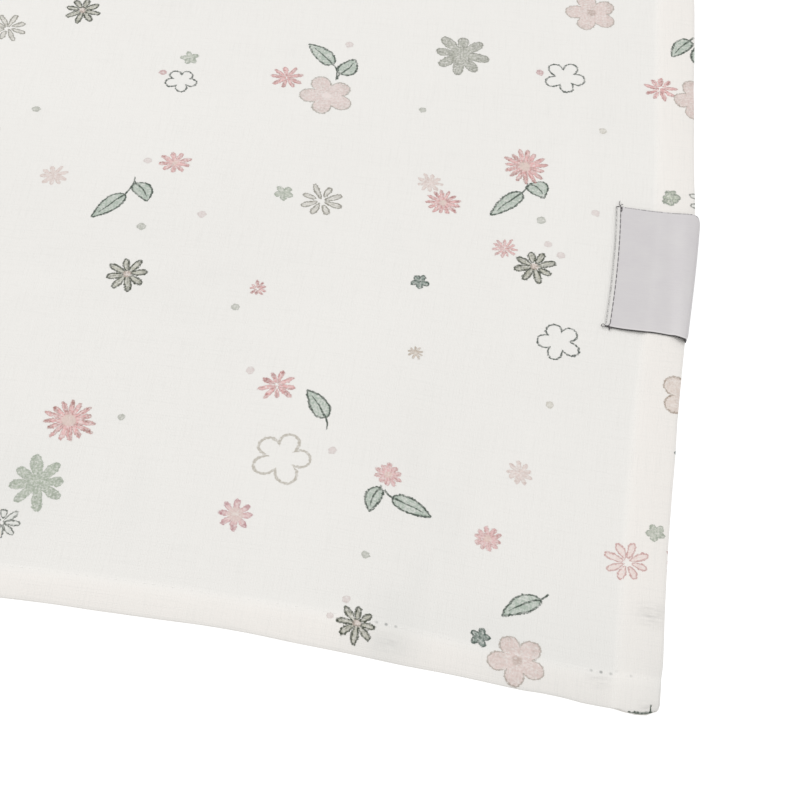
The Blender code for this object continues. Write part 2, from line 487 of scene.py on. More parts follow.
# %% Map the mesh to the cut cloth
cut_in, cut_up = np.meshgrid(rows_in["cut"], rows_up["cut"], indexing="ij")
map_u = 1.0 - (cut_in.ravel() - cut_in.min()) / rows_in["size"]
map_v = (cut_up.ravel() - cut_up.min()) / rows_up["size"]
uv_layer = blanket.data.uv_layers.new(name="OFBake")
corner_uv = np.stack([map_u[faces], map_v[faces]], axis=-1).astype(np.float32)
uv_layer.data.foreach_set("uv", corner_uv.ravel())
print("faces:", len(faces), " height, mm:", round(sheet_z.min(), 2), "to", round(sheet_z.max(), 2))

# %% [markdown]
# ## The print: what it is made of
# The print is an ordinary ditsy: some two dozen kinds of small flower and dot, and a few leaves, scattered
# with plenty of white between them. Every flower is the same drawing with other numbers. Its petals are
# ellipses set round a centre, so a kind says how many there are, how fat they are, whether they are drawn as
# closed loops or run into the centre, and what they are filled and outlined with. Sizes are shares of the
# flower's reach, and lines are in millimetres.

# %% Kinds of flower
PINK, PINK_LINE, BEIGE_HEART = (231, 180, 178), (176, 126, 123), (224, 208, 198)
NO_HEART = (PINK, 0.0)
DOT = (1, 0.0, 1.0, 0.0, 1)
KINDS = {
    # petals: number, middle, half width, egg shape, closed
    # pen: line width, unevenness, heart, strokes along the petals, shaded tips
    # inks, each a colour and its strength: fill, line and, where there is one, heart
    "full_five": ((5, .58, .345, .1, 0), (.42, .12, .19, .15, .2),
        (223, 204, 198), .95, (168, 158, 148), .78, (170, 152, 140), .5),
    "pale_five": ((5, .58, .345, .1, 0), (.44, .12, .16, .15, .2),
        (224, 206, 201), .95, (164, 159, 149), .8, (240, 228, 224), .8),
    "edge_five": ((5, .58, .35, .1, 0), (.55, .12, .0, .1, .2), (227, 213, 204), .9, (166, 150, 136), .9),
    "beige_five": ((5, .57, .345, .14, 0), (.8, .14, .0, .0, .0), (238, 236, 231), .1, (190, 184, 173), .95),
    "line_five": ((5, .57, .335, .12, 0), (.54, .14, .0, .0, .0), (236, 238, 235), .1, (74, 83, 76), .98),
    "dark_daisy": ((8, .58, .15, .16, 1), (.56, .18, .2, .5, .3),
        (188, 187, 172), .92, (70, 75, 62), .98, (204, 187, 176), .8),
    "grey_daisy": ((8, .56, .185, .3, 0), (.34, .22, .0, .5, .3),
        (178, 179, 168), .95, (130, 131, 120), .78),
    "sage_daisy": ((8, .56, .175, .25, 0), (.24, .26, .0, .4, .3),
        (173, 182, 165), .95, (148, 157, 142), .6),
    "loop_daisy": ((8, .59, .125, .3, 1), (.44, .2, .0, .5, .0), (212, 209, 200), .8, (132, 129, 117), .9),
    "dark_loops": ((8, .59, .15, .25, 1), (.44, .22, .0, .2, .0), (226, 228, 222), .6, (86, 93, 84), .9),
    "pink_loops": ((8, .6, .15, .3, 1), (.46, .18, .0, .2, .0), (237, 219, 213), .85, (200, 159, 155), .9),
    "star": ((9, .54, .128, .3, .2), (.26, .3, .0, .9, .5), PINK, .95, PINK_LINE, .5),
    "thin_star": ((11, .54, .108, .3, .2), (.24, .3, .0, .7, .4), PINK, .9, PINK_LINE, .45),
    "tipped": ((8, .58, .15, .2, .1), (.28, .2, .44, .4, .9),
        (226, 193, 191), .95, (182, 131, 136), .65, (224, 207, 199), .8),
    "rosette": ((9, .56, .148, .25, 0), (.24, .24, .2, .7, .4),
        (232, 184, 182), .92, PINK_LINE, .5, BEIGE_HEART, .7),
    "small_rose": ((13, .58, .105, .25, 0), (.24, .24, .22, .75, .4),
        PINK, .95, PINK_LINE, .5, BEIGE_HEART, .95),
    "dahlia": ((15, .6, .095, .2, 0), (.26, .26, .27, .7, .5),
        PINK, .95, (168, 122, 116), .5, BEIGE_HEART, .9),
    "pom": ((10, .56, .19, .1, 0), (.26, .2, .26, .7, .1),
        (228, 188, 187), .95, (184, 138, 134), .5, (226, 205, 193), .7),
    "pale_star": ((9, .58, .15, .2, 0), (.24, .26, .0, .5, .3), (230, 215, 209), .95, (202, 183, 176), .5),
    "blossom": ((5, .5, .34, .05, 0), (.34, .2, .14, .5, .2),
        (186, 192, 178), .92, (142, 152, 136), .7, (148, 158, 143), .5),
    "mottled": ((7, .5, .33, .1, .1), (.46, .36, .16, .9, .4),
        (188, 196, 178), .9, (124, 134, 120), .8, (206, 214, 194), .7),
    "dark_blossom": ((5, .52, .31, .05, 0), (.44, .2, .18, .4, .2),
        (132, 147, 138), .95, (64, 80, 72), .93, (60, 76, 68), .6),
    "beige_star": ((9, .55, .13, .2, 0), (.24, .2, .0, .6, .3), (210, 196, 182), .95, (168, 155, 140), .5),
    "pink_dot": (DOT, (.3, .0, .0, .4, .0), (204, 168, 167), .88, (176, 138, 140), .55),
    "pale_dot": (DOT, (.3, .0, .0, .3, .0), (221, 208, 205), .85, (204, 194, 190), .5),
    "green_dot": (DOT, (.3, .0, .0, .3, .0), (180, 182, 171), .82, (158, 160, 150), .5),
    "beige_dot": (DOT, (.3, .0, .0, .3, .0), (213, 209, 198), .85, (182, 177, 165), .5),
}

# %% [markdown]
# ## The print: where each motif sits
# The charts below give one repeat, in millimetres on the cut cloth. By the near right-hand
# corner they follow the photograph, and the part that the photograph doesn't show is filled in with more of
# the same. The next repeat to the left drops by half, as printers like to do, so that no rows show.
#
# Three more charts belong to the cloth itself: where print on the turned layers shows through the hems,
# where the seam's needle holes show, and where soft painted shade greys the cloth, mostly near the corner.

# %% Chart of one repeat
REPEAT_IN, REPEAT_UP, REPEAT_DROP = 240.0, 266.0, 133.0
FLOWERS = (
    # kind, then inward, up, across and turn of each
    ("dark_daisy", (199.6, 224.8, 11.6, 13), (164.5, 113.0, 12.4, 37), (46.1, 137.4, 12.2, 43),
     (80.8, 7.8, 10.5, 112)), ("loop_daisy", (112.5, 151.5, 13.2, 5)),
    ("dark_loops", (-4.3, 170.0, 12.4, 0), (181.2, 22.4, 9.6, 27)), ("pink_loops", (10.9, 43.0, 11.8, 7)),
    ("grey_daisy", (75.1, 221.2, 17.6, 17)), ("sage_daisy", (174.4, 36.2, 17.2, 34)),
    ("star", (129.7, 203.0, 9.8, 0), (10.8, 215.2, 10.4, 25)), ("rosette", (158.7, 159.4, 9.6, 11)),
    ("small_rose", (76.0, 157.2, 10.2, 4)), ("star", (125.4, 113.5, 5.6, 5), (113.6, 79.0, 10.8, 20)),
    ("tipped", (118.2, 34.4, 10.0, 22)), ("thin_star", (55.6, 142.7, 7.4, 16)),
    ("star", (-3.8, 44.8, 9.6, 0)), ("dahlia", (52.5, 176.3, 13.4, 0), (170.1, 58.0, 15.2, 9)),
    ("pom", (78.1, 54.9, 7.6, 0), (48.8, 41.7, 7.8, 12)),
    ("pale_star", (194.2, 149.0, 8.2, 7), (80.9, 164.5, 7.6, 18), (42.2, 64.6, 7.8, 0)),
    ("pale_five", (116.3, 196.6, 17.2, 5)),
    ("full_five", (33.4, 245.9, 16.8, 0), (-1.5, 211.6, 16.4, 5), (37.8, 7.7, 15.4, 12)),
    ("beige_five", (108.3, 54.6, 17.0, 38)), ("edge_five", (-3.1, 98.6, 16.8, 36)),
    ("line_five", (162.8, 196.8, 10.2, 25), (41.3, 215.9, 13.2, 28), (36.0, 111.4, 13.0, 9)),
    ("blossom", (161.6, 207.4, 5.8, 0), (124.2, 152.5, 5.8, 20)), ("mottled", (7.3, 170.2, 5.5, 44)),
    ("blossom", (3.7, 53.0, 5.4, 12)),
    ("dark_blossom", (78.8, 125.0, 5.4, 24), (48.1, 12.2, 5.2, 44), (-2.2, 79.5, 5.2, 0)),
    ("beige_star", (76.2, 98.4, 4.8, 0)), ("pink_dot", (169.1, 199.7, 2.2, 0), (49.3, 217.0, 2.2, 0)),
    ("pale_dot", (29.8, 161.0, 2.4, 0), (84.4, 14.3, 2.0, 0), (88.0, 8.6, 1.8, 0), (111.3, 220.6, 2.4, 0),
     (167.1, 159.1, 2.3, 0), (146.9, 139.4, 2.4, 0), (43.0, 146.5, 2.2, 0), (38.8, 143.0, 2.4, 0),
     (122.2, 83.2, 2.4, 0), (94.7, 59.4, 2.3, 0)),
    ("green_dot", (205.4, 176.7, 2.3, 0), (85.7, 194.7, 2.1, 0), (163.9, 131.9, 2.5, 0),
     (130.6, 105.4, 2.2, 0), (81.1, 28.5, 2.0, 0), (46.0, 155.5, 2.6, 0), (155.6, 61.2, 2.0, 0)),
    ("beige_dot", (28.9, 195.0, 2.2, 0), (36.1, 89.1, 2.1, 0)),
    # past the photograph
    ("line_five", (212.0, 92.0, 13.0, 40)), ("star", (221.0, 60.0, 9.8, 0)),
    ("blossom", (203.0, 74.0, 5.6, 0)), ("pale_star", (217.0, 126.0, 7.8, 5)),
    ("dahlia", (208.0, 2.0, 13.0, 4)), ("full_five", (222.0, 163.0, 16.0, 70)),
    ("pink_dot", (224.0, 38.0, 2.2, 0)), ("star", (148.0, 244.0, 9.4, 12)),
    ("dark_blossom", (102.0, 247.0, 5.2, 0)), ("pale_dot", (130.0, 249.0, 2.3, 0)),
    ("loop_daisy", (222.0, 213.0, 12.4, 8)), ("beige_dot", (176.0, 246.0, 2.2, 0)),
)
LEAVES = (
    # inward and up of its foot, length, half width, turn, bend, stem, bend of the stem
    (115.8, 211.0, 11.7, 2.7, 136, -0.4, 6.2, 0.1), (112.8, 207.1, 8.1, 2.8, 60, -0.6, 2.8, -0.08),
    (171.5, 144.0, 13.0, 2.5, -128, 0.0, 7.2, -0.06), (168.8, 148.9, 8.2, 2.7, -56, 0.9, 1.2, 0.0),
    (52.7, 165.3, 13.6, 2.4, -129, -0.2, 4.3, -0.08), (50.4, 169.4, 6.7, 3.0, -47, 1.2, 0.3, 0.0),
    (98.2, 70.1, 10.6, 2.6, 127, -0.3, 3.7, 0.13), (79.8, 50.1, 8.3, 2.2, -104, -0.7, 1.0, 0.0),
    (76.0, 47.8, 11.6, 2.4, -16, 0.3, 2.9, 0.15), (33.2, 26.9, 12.0, 2.4, -144, -0.7, 3.0, -0.05),
    (1.5, 237.2, 9.6, 2.4, -124, -0.4, 2.2, 0.0), (-1.0, 227.6, 8.2, 2.0, 90, 0.0, 0.5, 0.0),
    (1.6, 0.0, 6.8, 0.26, 180, 0.0, 0.4, 0.0), (1.8, 0.2, 0.6, 0.1, -92, 0.0, 1.9, 0.0),
    # past the photograph
    (206.5, 251.0, 11.5, 2.4, 150, 0.4, 4.0, 0.15), (216.0, 8.5, 12.0, 2.4, 118, 0.4, 4.0, 0.1),
    (226.0, 180.0, 9.5, 2.6, 62, 0.3, 4.0, 0.1),
)

# %% Charts of what shows through, of the needle holes, and of painted shade
# in each: inward, up, half sizes, strength
SHOWING = (
    (3.0, 28.0, 7.0, 4.8, 0.9), (71.5, 4.4, 6.0, 4.0, 0.5), (16.0, 6.6, 5.0, 3.4, 0.6),
    (3.0, 1.0, 5.0, 3.0, 0.7), (290.0, 5.0, 4.6, 2.8, 0.6), (5.5, 330.0, 3.4, 4.4, 0.6),
    (412.0, 4.5, 4.6, 2.6, 0.5), (5.0, 470.0, 3.2, 4.6, 0.5),
)
HOLES = (
    (73.0, 9.8, 5.4, 4.0, 0.85), (15.6, 9.8, 5.2, 4.0, 0.85), (8.2, 9.8, 1.6, 4.0, 0.3),
    (301.0, 9.8, 6.0, 4.0, 0.7), (11.8, 318.0, 4.0, 6.0, 0.7), (11.8, 452.0, 4.0, 5.0, 0.6),
)
# painted shade: soft patches where the cloth's colour is greyed to stand in for shade
PAINTED_SHADE = (
    (14.0, 4.0, 62.0, 42.0, 0.22), (70.0, 11.0, 15.0, 17.0, 0.24), (46.0, 14.0, 16.0, 14.0, 0.1),
    (62.0, 46.0, 7.0, 24.0, 0.14), (147.0, 34.0, 6.0, 24.0, 0.08), (74.0, 3.5, 16.0, 9.0, 0.3),
    (1.0, 10.0, 5.0, 16.0, 0.14), (42.0, 3.0, 8.0, 5.0, 0.1), (180.0, 34.0, 20.0, 26.0, 0.14),
    (65.7, 26.0, 6.0, 12.0, 0.12),
)

# %% [markdown]
# ## The print: giving each face its motif
# An image would blur the thin lines, so the print is worked out by the material at each spot. For that, the
# faces under a motif carry its numbers, and their corners carry where they are on the motif's own drawing.
# A face can carry only one motif, so near neighbours go on different layers, like passes of a printing
# screen.


# %% Screens that hold the motifs
FACE_GRID = (COUNTS[0] - 1, COUNTS[1] - 1)
FAR_AWAY = 900.0


class Screen:
    """One pass of the print: numbers for each face, and where its corners are on the drawing."""

    def __init__(self, name, parts):
        self.name = name
        self.taken = np.zeros(FACE_GRID, bool)
        self.at = np.full((*FACE_GRID, 4, 3), FAR_AWAY, np.float32)
        self.parts = {part: np.ones((*FACE_GRID, 3), np.float32) for part in parts}

    def take(self, middle, radius, foot, turn, seed, values):
        """Put one motif on the screen, unless another is in its way. Say whether it was put there."""
        spans = []
        for place, rows, count in zip(middle, (rows_in, rows_up), FACE_GRID):
            low = max(np.searchsorted(rows["cut"], place - radius, "right") - 1, 0)
            high = min(np.searchsorted(rows["cut"], place + radius, "left"), count)
            spans.append(slice(low, high))
        block = tuple(spans)
        if self.taken[block].size == 0:
            return True
        if self.taken[block].any():
            return False
        self.taken[block] = True
        cosine, sine = math.cos(math.radians(turn)), math.sin(math.radians(turn))
        for corner, (step_in, step_up) in enumerate(((0, 0), (0, 1), (1, 1), (1, 0))):
            along_in = rows_in["cut"][spans[0].start + step_in:spans[0].stop + step_in]
            along_up = rows_up["cut"][spans[1].start + step_up:spans[1].stop + step_up]
            dx = (foot[0] - along_in)[:, None]
            dy = (along_up - foot[1])[None, :]
            self.at[block][..., corner, 0] = dx * cosine + dy * sine
            self.at[block][..., corner, 1] = dy * cosine - dx * sine
            self.at[block][..., corner, 2] = seed
        for part, value in values.items():
            self.parts[part][block] = value
        return True

    def carry(self, mesh):
        """Store the screen on the mesh."""
        at = mesh.attributes.new(self.name + "_at", "FLOAT_VECTOR", "CORNER")
        at.data.foreach_set("vector", self.at.ravel())
        for part, values in self.parts.items():
            stored_part = mesh.attributes.new(self.name + "_" + part, "FLOAT_VECTOR", "FACE")
            stored_part.data.foreach_set("vector", values.ravel())


# %% Put the motifs on their screens
FLOWER_PARTS = ("form", "shape", "line", "touch", "ink", "fill", "stroke", "heart")
LEAF_PARTS = ("form", "stem")
PETAL_SLACK = 0.8           # a wobbling petal and its bleeding ink may pass its reach by this much
PETAL_LUCK = 0.3            # and a petal may be longer than its kind's by this share of the unevenness
PAST_CLOTH = 36.0           # a motif whose middle is this far off the finished cloth can still reach a hem
FLOWER_SEEDS, LEAF_SEEDS, SEED_RANGE = (7.31, 3.17), (5.13, 9.71), 50.0


def flower_numbers(kind, reach):
    """The numbers that the material needs for one flower, in millimetres and as colours."""
    petals, pen, fill, fill_ink, stroke, stroke_ink, *of_heart = KINDS[kind]
    number, centre, half_width, egg, closed = petals
    line, uneven, heart, strokes, tips = pen
    middle, middle_ink = of_heart or NO_HEART
    return {
        "form": (number, reach, centre * reach),
        "shape": (half_width * reach, egg, closed),
        "line": (line, uneven, heart * reach),
        "touch": (strokes, tips, 0.0),
        "ink": (fill_ink, stroke_ink, middle_ink),
        "fill": linear(*fill), "stroke": linear(*stroke), "heart": linear(*middle),
    }


def repeats(inward, up):
    """Every place of a chart's motif on the cut cloth."""
    for column in range(-1, math.ceil(rows_in["size"] / REPEAT_IN) + 1):
        for row in range(-2, math.ceil(rows_up["size"] / REPEAT_UP) + 2):
            drop = REPEAT_DROP * (column % 2)
            place = (inward + column * REPEAT_IN, up + row * REPEAT_UP + drop)
            if all(-PAST_CLOTH < part < SIDE + PAST_CLOTH for part in place):
                yield place


def put(screens, middle, radius, foot, turn, seeds, values):
    """Put a motif on the first screen that has room for it. Say whether there was one."""
    seed = (seeds[0] * foot[0] + seeds[1] * foot[1]) % SEED_RANGE
    return any(screen.take(middle, radius, foot, turn, seed, values) for screen in screens)


flower_screens = [Screen(f"flowers{number}", FLOWER_PARTS) for number in range(3)]
leaf_screens = [Screen(f"leaves{number}", LEAF_PARTS) for number in range(2)]
done = []
for kind, *places in FLOWERS:
    for at_inward, at_up, across, turn in places:
        values = flower_numbers(kind, across / 2.0)
        radius = across / 2.0 * (1.0 + values["line"][1] * PETAL_LUCK) + PETAL_SLACK
        for place in repeats(at_inward, at_up):
            done.append(put(flower_screens, place, radius, place, turn, FLOWER_SEEDS, values))
for at_inward, at_up, length, half_width, turn, bend, stem, stem_bend in LEAVES:
    values = {"form": (length, half_width, bend), "stem": (stem, stem_bend, 0.0)}
    radius = (length + stem) / 2.0 + PETAL_SLACK
    ahead, angle = (length - stem) / 2.0, math.radians(turn)
    for foot in repeats(at_inward, at_up):
        middle = (foot[0] - ahead * math.cos(angle), foot[1] + ahead * math.sin(angle))
        done.append(put(leaf_screens, middle, radius, foot, turn, LEAF_SEEDS, values))
for screen in flower_screens + leaf_screens:
    screen.carry(blanket.data)
print("motifs placed:", sum(done), " left out for want of room:", len(done) - sum(done))

# %% [markdown]
# ## Sums in a material
# A printed flower is a lot of small sums, and a material does sums with Math nodes. Writing one node per
# line would fill pages. These helpers let us write `a * b + 1` and make the nodes for it.


# %% A number in a node tree
def feed(value, socket):
    """Give a socket a number or a colour, or join it to what brings one."""
    if isinstance(value, Wire):
        value = value.socket
    if isinstance(value, bpy.types.NodeSocket):
        socket.id_data.links.new(value, socket)
    elif socket.type == "RGBA":
        socket.default_value = (*value, 1.0)
    else:
        socket.default_value = value


def add_node(tree, kind, inputs, **settings):
    """A new node, with its settings made first and then its inputs fed."""
    node = tree.nodes.new("ShaderNode" + kind)
    for name, value in settings.items():
        setattr(node, name, value)
    for name, value in inputs.items():
        feed(value, node.inputs[name])
    return node


class Wire:
    """One number in a node tree. Sums of wires make Math nodes."""

    def __init__(self, socket):
        self.socket = socket
        self.tree = socket.id_data

    def math(self, operation, *others):
        inputs = dict(enumerate((self, *others)))
        return Wire(add_node(self.tree, "Math", inputs, operation=operation).outputs[0])

    def __add__(self, other):
        return self.math("ADD", other)

    def __sub__(self, other):
        return self.math("SUBTRACT", other)

    def __mul__(self, other):
        return self.math("MULTIPLY", other)

    def __truediv__(self, other):
        return self.math("DIVIDE", other)

    def __abs__(self):
        return self.math("ABSOLUTE")

    def at_least(self, other):
        """The larger of two numbers."""
        return self.math("MAXIMUM", other)

    def within(self, low, high):
        """The same number, kept between two others."""
        return self.math("MAXIMUM", low).math("MINIMUM", high)

    def up_to(self, edge, blur):
        """1 below the edge, 0 above it, with a soft step between."""
        inputs = {"Value": self - edge, "From Min": -blur, "From Max": blur, "To Min": 1.0, "To Max": 0.0}
        node = add_node(self.tree, "MapRange", inputs, interpolation_type="SMOOTHSTEP")
        return Wire(node.outputs["Result"])

    def past(self, edge, blur):
        """0 below the edge, 1 above it."""
        return (self * -1.0).up_to(-edge, blur)


# %% Vectors, noise and colours in a node tree
def hypot(a, b):
    """The long side of a right-angled triangle."""
    return (a * a + b * b).math("SQRT")


def parts_of(vector):
    """The three numbers of a vector."""
    return [Wire(output) for output in add_node(vector.id_data, "SeparateXYZ", {0: vector}).outputs]


def vector_of(x, y, z=0.0):
    """A vector made of three numbers."""
    return add_node(x.tree, "CombineXYZ", {0: x, 1: y, 2: z}).outputs[0]


def noise_over(vector, scale, detail=2.0, roughness=0.5):
    """The outputs of soft noise over a vector."""
    inputs = {"Vector": vector, "Scale": scale, "Detail": detail, "Roughness": roughness}
    return add_node(vector.id_data, "TexNoise", inputs).outputs


def cloud_over(vector, scale=1.0, detail=2.0, stretch=None):
    """Soft noise as one number. A stretch draws it out along one way of the cloth."""
    if stretch:
        inputs = {"Vector": vector, "Scale": (*stretch, 1.0)}
        vector = add_node(vector.id_data, "Mapping", inputs).outputs["Vector"]
    return Wire(noise_over(vector, scale, detail)["Fac"])


def mixed(share, below, above):
    """One colour laid over another, with a share that the node itself keeps between 0 and 1."""
    return add_node(share.tree, "Mix", {0: share, 6: below, 7: above}, data_type="RGBA").outputs[2]


def laid_over(colour, *passes):
    """A colour with others laid over it one after another, each with its share."""
    for share, above in passes:
        colour = mixed(share, colour, above)
    return colour


def add_bump(shader, height, relief):
    """Relief too fine to model, which only the light sees: its strength, and its depth in metres."""
    inputs = {"Height": height, "Strength": relief[0], "Distance": relief[1]}
    feed(add_node(height.tree, "Bump", inputs).outputs["Normal"], shader.inputs["Normal"])


# %% [markdown]
# ## Drawing a flower
# First the spot is turned into petal terms: which petal it belongs to, how far out along that petal it is
# and how far beside it. Then comes the distance to the petal's ellipse. Where it is below zero there is
# fill, and where it is near zero there is line. Each petal gets its own length, lean and width from chance,
# so that no two are alike. Fine strokes run along the petals, as a dry brush leaves them. Ink frays where it
# bleeds into single threads, takes more in one spot than in the next, and tints the cloth beside a line.

# %% Pens and printed groups
PEN_WOBBLE = 0.85
EDGE_BLUR = 0.11
GRIT_SIZE, GRIT_FRAY, STEM_FRAY = 1.5, 0.9, 0.3     # fine noise, and how much it frays the ink's edges
BLEED, BLEED_REACH = 0.055, 0.4
INK_LEAST = 0.4             # the share of its ink that even the driest spot takes


def wobble(vector, scale):
    """A place moved about by soft noise, as a hand moves a pen: x, y and the noise itself."""
    x, y, _ = parts_of(vector)
    red, green, blue = parts_of(noise_over(vector, scale, 3.0, 0.62)["Color"])
    return x + (red - 0.5) * PEN_WOBBLE, y + (green - 0.5) * PEN_WOBBLE, blue


def grit(vector):
    """Fine noise, about 0 with most of it between -0.25 and 0.25, for frayed edges and uneven ink."""
    return [part - 0.5 for part in parts_of(noise_over(vector, GRIT_SIZE)["Color"])]


def new_group(name, parts):
    """A node group that takes a colour and gives it back with something printed on it."""
    tree = bpy.data.node_groups.new(name, "ShaderNodeTree")
    kinds = {"Color": "Color", "Ink": "Float", "at": "Vector"} | dict.fromkeys(parts, "Vector")
    for label, kind in kinds.items():
        tree.interface.new_socket(label, in_out="INPUT", socket_type="NodeSocket" + kind)
    tree.interface.new_socket("Color", in_out="OUTPUT", socket_type="NodeSocketColor")
    return tree, tree.nodes.new("NodeGroupInput").outputs, tree.nodes.new("NodeGroupOutput").inputs[0]


# %% Flower drawing
STROKE_FINE, STROKE_LONG = 1.9, 0.4     # strokes are this close together, and change this slowly along
PETAL_APART = 7.3           # from one petal to the next the strokes' noise moves on by this much
STROKE_SHARP, STROKE_LEVEL = 6.5, 0.3   # how hard a stroke's sides are, and how much of a petal they cover
EVEN_LUCK = 0.6             # with this much luck a petal is as long as its kind says
MOST_LEAN = 0.6             # how far a petal may lean, as a share of the unevenness
LEAST_WIDE = 0.2            # an egg-shaped petal never gets narrower than this share of its width
WHOLE = -40.0               # a closed petal is a whole ellipse, and an open one runs on into the heart
TIP_PATCHY = 3.0            # how patchy the shading of the tips is
FILL_SPECKS, FILL_LEVEL = 2.2, 0.92     # how uneven the ink of a fill is, and how strong on average
LINE_SPECKS, LINE_LEVEL = 2.6, 0.95
BLOTCHES = 0.6              # how much darker a fill's blotches are
HEART_BLUR = 0.4
FLOWER_WOBBLE = 0.4         # how far its outline strays


def flower_group():
    """One flower: petals, each with its fill, strokes and line, round a heart."""
    tree, given, result = new_group("printed_flower", FLOWER_PARTS)
    x, y, cloud = wobble(given["at"], FLOWER_WOBBLE)
    fray, uneven_fill, uneven_line = grit(given["at"])
    number, reach, centre = parts_of(given["form"])
    half_width, egg, closed = parts_of(given["shape"])
    line, uneven, heart = parts_of(given["line"])
    strokes, tips, _ = parts_of(given["touch"])
    fill_ink, stroke_ink, heart_ink = parts_of(given["ink"])
    seed = parts_of(given["at"])[2]

    # which petal, and what chance gave it
    out = hypot(x, y)
    turns = y.math("ARCTAN2", x) / (2.0 * math.pi) * number + number
    petal = turns.math("FLOOR")
    pair = vector_of(petal.math("MODULO", number) + 0.5, seed.math("FLOOR") + 0.5)
    chance = add_node(tree, "TexWhiteNoise", {"Vector": pair}, noise_dimensions="2D")
    luck, lean, shade = parts_of(chance.outputs["Color"])

    # how far along the petal and beside it, as shares of its half length and half width
    long_half = reach * ((luck - EVEN_LUCK) * uneven + 1.0) - centre
    angle = (turns - petal - 0.5 + (lean - 0.5) * uneven * MOST_LEAN) * (2.0 * math.pi) / number
    along = (out * angle.math("COSINE") - centre) / long_half
    width = half_width * (along * egg + 1.0).at_least(LEAST_WIDE) * ((shade - 0.5) * uneven + 1.0)
    sideways = out * angle.math("SINE")
    beside = sideways / width
    along = along.at_least(closed * WHOLE)
    ring = hypot(along, beside)
    steep = hypot(along / long_half, beside / width).at_least(0.001)
    distance = (ring - 1.0) * ring.at_least(0.3) / steep + fray * GRIT_FRAY
    to_line = abs(distance)

    # strokes along the petal, which differ from petal to petal, and shaded tips
    brush = vector_of(sideways * STROKE_FINE + petal * PETAL_APART, out * STROKE_LONG, seed)
    stroke = ((cloud_over(brush) - 0.5) * STROKE_SHARP + STROKE_LEVEL).within(0.0, 1.0)
    tip = (along + (cloud - 0.5) * TIP_PATCHY).within(0.0, 1.0)
    shade = tip * tips + stroke * strokes + (cloud - 0.5).at_least(0.0) * BLOTCHES
    fill = mixed(shade, given["fill"], given["stroke"])

    # bleeding ink, then fill, line and heart
    ink = Wire(given["Ink"])
    fill_press = ink * (uneven_fill * FILL_SPECKS + FILL_LEVEL).within(INK_LEAST, 1.0)
    line_press = ink * (uneven_line * LINE_SPECKS + LINE_LEVEL).within(INK_LEAST, 1.0)
    feed(laid_over(
        given["Color"],
        (to_line.up_to(BLEED_REACH, BLEED_REACH) * stroke_ink * BLEED, given["stroke"]),
        (distance.up_to(0.0, EDGE_BLUR) * fill_ink * fill_press, fill),
        (to_line.up_to(line * 0.5, EDGE_BLUR) * stroke_ink * line_press, given["stroke"]),
        (out.up_to(heart, HEART_BLUR) * heart_ink * fill_press, given["heart"]),
    ), result)
    return tree


# %% [markdown]
# ## Drawing a leaf
# A leaf is simpler. Along its middle line its half width grows fast from the foot and runs out slowly to the
# tip. The middle line is bent a little, a vein runs up most of it, thick at the foot, and past the foot the
# same pen goes on as the stem. The pen presses harder in some places than in others.

# %% Leaf drawing
LEAF_FILL, LEAF_LINE = linear(175, 187, 175), linear(71, 83, 73)
LEAF_PEN = 0.6
FOOT_POWER, TIP_POWER = 0.5, 0.9
WIDEST = FOOT_POWER / (FOOT_POWER + TIP_POWER)
WIDTH_SHARE = 1.0 / (WIDEST ** FOOT_POWER * (1.0 - WIDEST) ** TIP_POWER)
VEIN_END = 0.78             # how much of the leaf the vein runs up
VEIN_THICK, VEIN_TAPER = 0.56, 0.4      # half its thickness at the foot, and what it loses to the tip
STEM_INTO = 0.6             # the stem reaches this far into the leaf
LEAF_SPECKS, LEAF_LEVEL = 1.6, 0.35     # how uneven the ink of the fill is, and how strong at the least
PEN_PATCHY, PEN_LEVEL, PEN_LEAST = 2.0, 0.95, 0.35
LEAF_WOBBLE = 0.35


def leaf_group():
    """One leaf: its fill and line, its vein and its stem."""
    tree, given, result = new_group("printed_leaf", LEAF_PARTS)
    x, y, cloud = wobble(given["at"], LEAF_WOBBLE)
    fray, uneven_fill, uneven_line = grit(given["at"])
    length, half_width, bend = parts_of(given["form"])
    stem, stem_bend, _ = parts_of(given["stem"])
    ink = Wire(given["Ink"])

    # the distance to the leaf's outline
    share = x / length
    inside = share.within(0.02, 0.98)
    from_tip = inside * -1.0 + 1.0
    y_leaf = y - bend * inside * from_tip * 4.0
    width = inside.math("POWER", FOOT_POWER) * from_tip.math("POWER", TIP_POWER) * half_width * WIDTH_SHARE
    growth = inside.math("POWER", -1.0) * FOOT_POWER - from_tip.math("POWER", -1.0) * TIP_POWER
    steep = width / length * growth
    lean = (steep * steep + 1.0).math("SQRT")
    distance = (abs(y_leaf) - width) / lean + abs(share - inside) * length + fray * GRIT_FRAY
    to_line = abs(distance)

    # the pen: outline, vein and stem
    y_stem = abs(y - stem_bend * x * x) + fray * STEM_FRAY
    stem_end = (x * -1.0).up_to(stem, 0.2)
    on_stem = y_stem.up_to(LEAF_PEN * 0.5, EDGE_BLUR) * stem_end * x.up_to(STEM_INTO, 0.3)
    vein = abs(y_leaf) + fray * STEM_FRAY
    vein_end = share.up_to(VEIN_END, 0.06) * share.past(0.03, 0.03)
    on_vein = vein.up_to((share * -VEIN_TAPER + VEIN_THICK) * LEAF_PEN, EDGE_BLUR) * vein_end
    on_edge = to_line.up_to(LEAF_PEN * 0.5, EDGE_BLUR)
    press = ((cloud - 0.5) * PEN_PATCHY + uneven_line * PEN_PATCHY + PEN_LEVEL).within(PEN_LEAST, 1.0)
    pen = on_edge.at_least(on_vein).at_least(on_stem) * press * ink

    feed(laid_over(
        given["Color"],
        (to_line.up_to(BLEED_REACH, BLEED_REACH) * BLEED, LEAF_LINE),
        (distance.up_to(0.0, EDGE_BLUR) * ink * (cloud + uneven_fill * LEAF_SPECKS + LEAF_LEVEL), LEAF_FILL),
        (pen, LEAF_LINE),
    ), result)
    return tree
